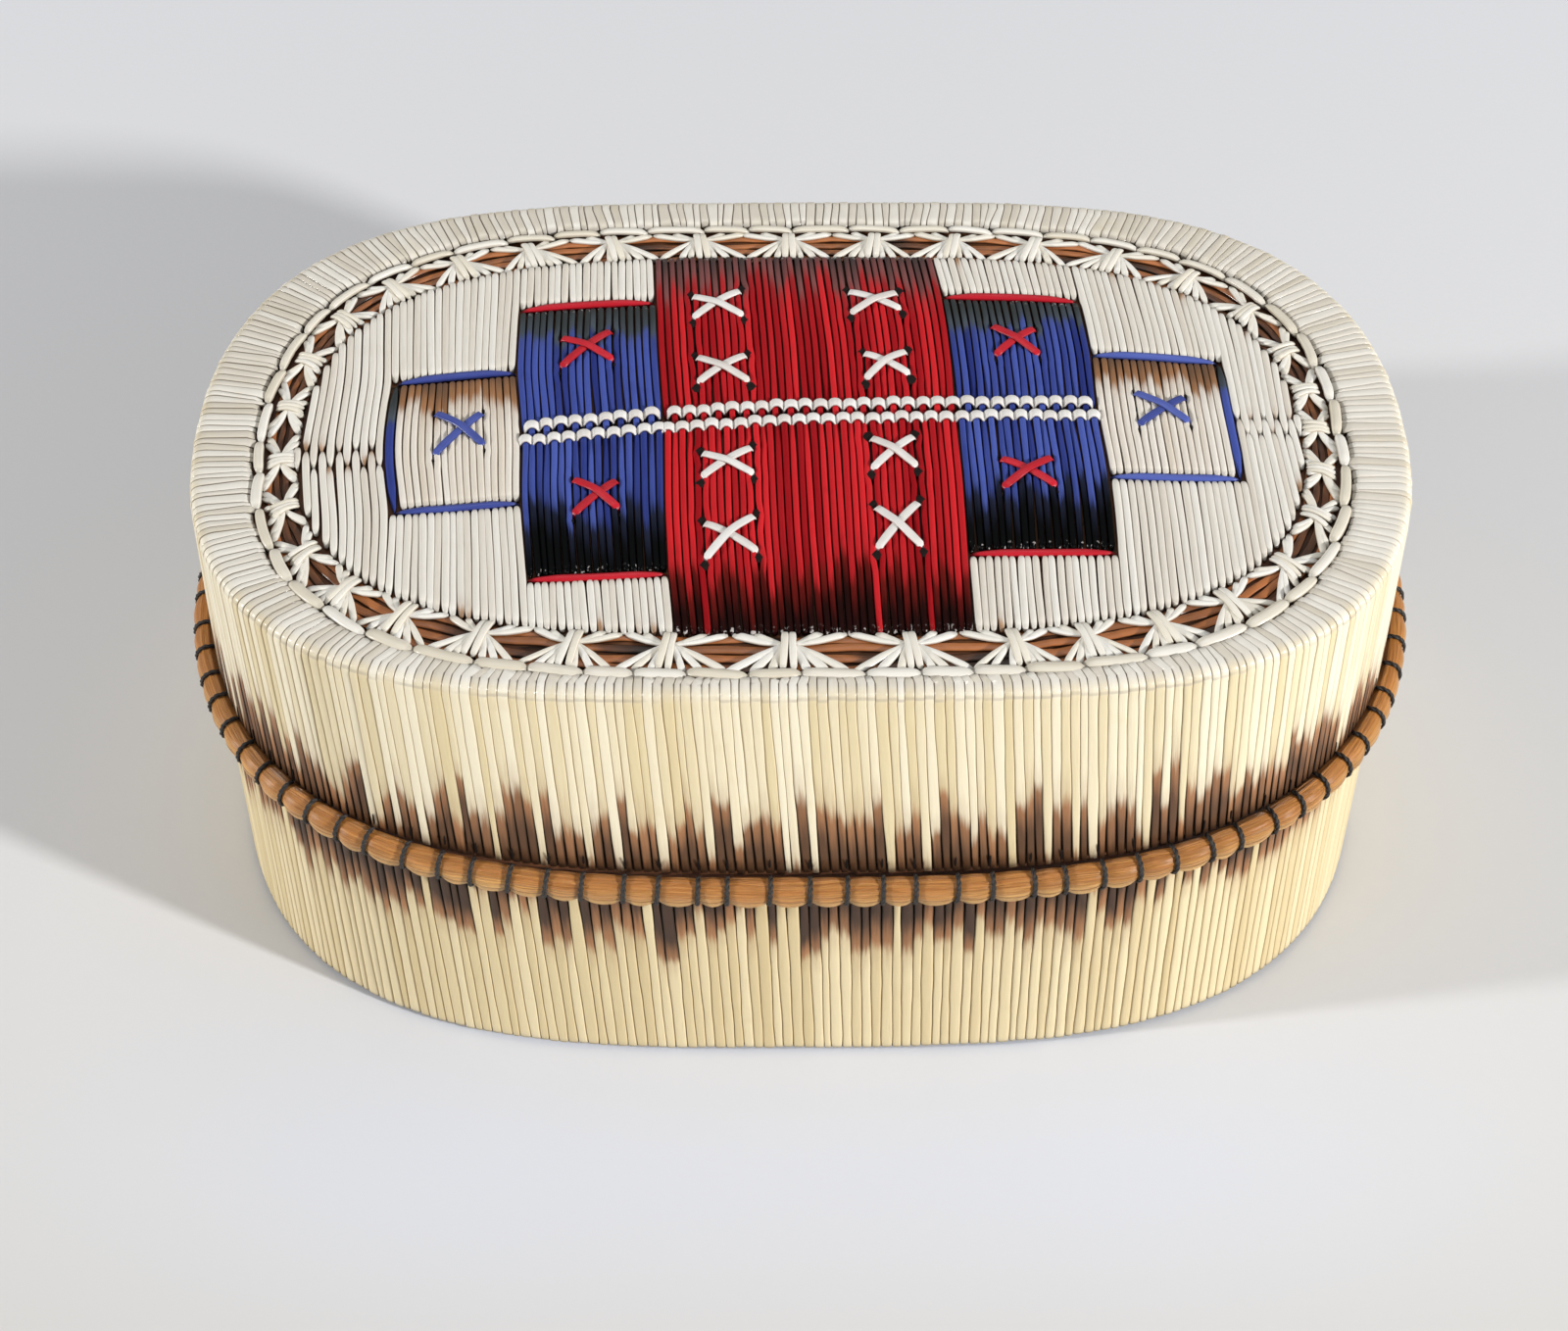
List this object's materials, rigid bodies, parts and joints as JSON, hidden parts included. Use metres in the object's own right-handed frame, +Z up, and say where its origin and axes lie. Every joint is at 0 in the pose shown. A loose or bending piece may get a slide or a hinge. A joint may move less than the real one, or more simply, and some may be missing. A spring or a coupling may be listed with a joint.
{
  "type": "quill box",
  "caption": "Oval birchbark box with a lift-off lid, covered in dyed and natural quills, with a star border, a stepped panel and a sweetgrass rim.",
  "frame": {"origin": "centre of the underside of the floor, at the bottom centre of the bounding box", "axes": "+X along the box, +Y across it away from the front, +Z up through the lid"},
  "size_m": [0.188, 0.1296, 0.0739],
  "materials": {
    "birchbark": "matte inner bark, warm brown",
    "bark_lining": "matte bark sheet, tan",
    "quill_base": "natural quill, cream with brown tips, soft gloss",
    "quill_lid": "natural quill, pale cream with brown tips, soft gloss",
    "quill_band": "natural quill, off-white, soft gloss",
    "quill_white": "natural quill, white, soft gloss",
    "quill_natural": "natural quill with a brown tip, soft gloss",
    "quill_red": "dyed quill, red running to black, soft gloss",
    "quill_blue": "dyed quill, blue running to black, soft gloss",
    "sweetgrass": "dried grass bundle bound with black thread"
  },
  "bodies": {
    "base": {"base_floor": "birchbark", "base_floor_lining": "bark_lining", "base_wall_bark": "birchbark", "base_quills": "quill_base", "base_liner": "bark_lining"},
    "lid": {"lid_wall_bark": "birchbark", "lid_wall_lining": "bark_lining", "lid_top_bark": "birchbark", "lid_top_lining": "bark_lining", "lid_side_quills": "quill_lid", "lid_edge_quills": "quill_band", "rim_sweetgrass": "sweetgrass", "laid_quill_chain": "quill_white", "star_border": "quill_white", "red_field_back": "quill_red", "red_field_front": "quill_red", "blue_field_back_left": "quill_blue", "blue_field_back_right": "quill_blue", "blue_field_front_left": "quill_blue", "blue_field_front_right": "quill_blue", "end_square_left": "quill_natural", "end_square_right": "quill_natural", "white_field_back_left": "quill_white", "white_field_back_right": "quill_white", "white_field_front_left": "quill_white", "white_field_front_right": "quill_white", "white_wraps_back": "quill_white", "white_wraps_front": "quill_white", "red_laid_quill_back_left": "quill_red", "red_laid_quill_back_right": "quill_red", "red_laid_quill_front_left": "quill_red", "red_laid_quill_front_right": "quill_red", "blue_laid_quill_back_left": "quill_blue", "blue_laid_quill_back_right": "quill_blue", "blue_laid_quill_front_left": "quill_blue", "blue_laid_quill_front_right": "quill_blue", "blue_laid_quill_end_left": "quill_blue", "blue_laid_quill_end_right": "quill_blue", "white_stitch_back_outer_left": "quill_white", "white_stitch_back_outer_right": "quill_white", "white_stitch_back_inner_left": "quill_white", "white_stitch_back_inner_right": "quill_white", "white_stitch_front_inner_left": "quill_white", "white_stitch_front_inner_right": "quill_white", "white_stitch_front_outer_left": "quill_white", "white_stitch_front_outer_right": "quill_white", "red_stitch_back_left": "quill_red", "red_stitch_back_right": "quill_red", "red_stitch_front_left": "quill_red", "red_stitch_front_right": "quill_red", "blue_stitch_left": "quill_blue", "blue_stitch_right": "quill_blue"}
  },
  "joints": [
    {"name": "lid_lift", "type": "slide", "parent": "base", "child": "lid", "axis": [0, 0, 1], "range_m": [0, 0.08]}
  ]
}
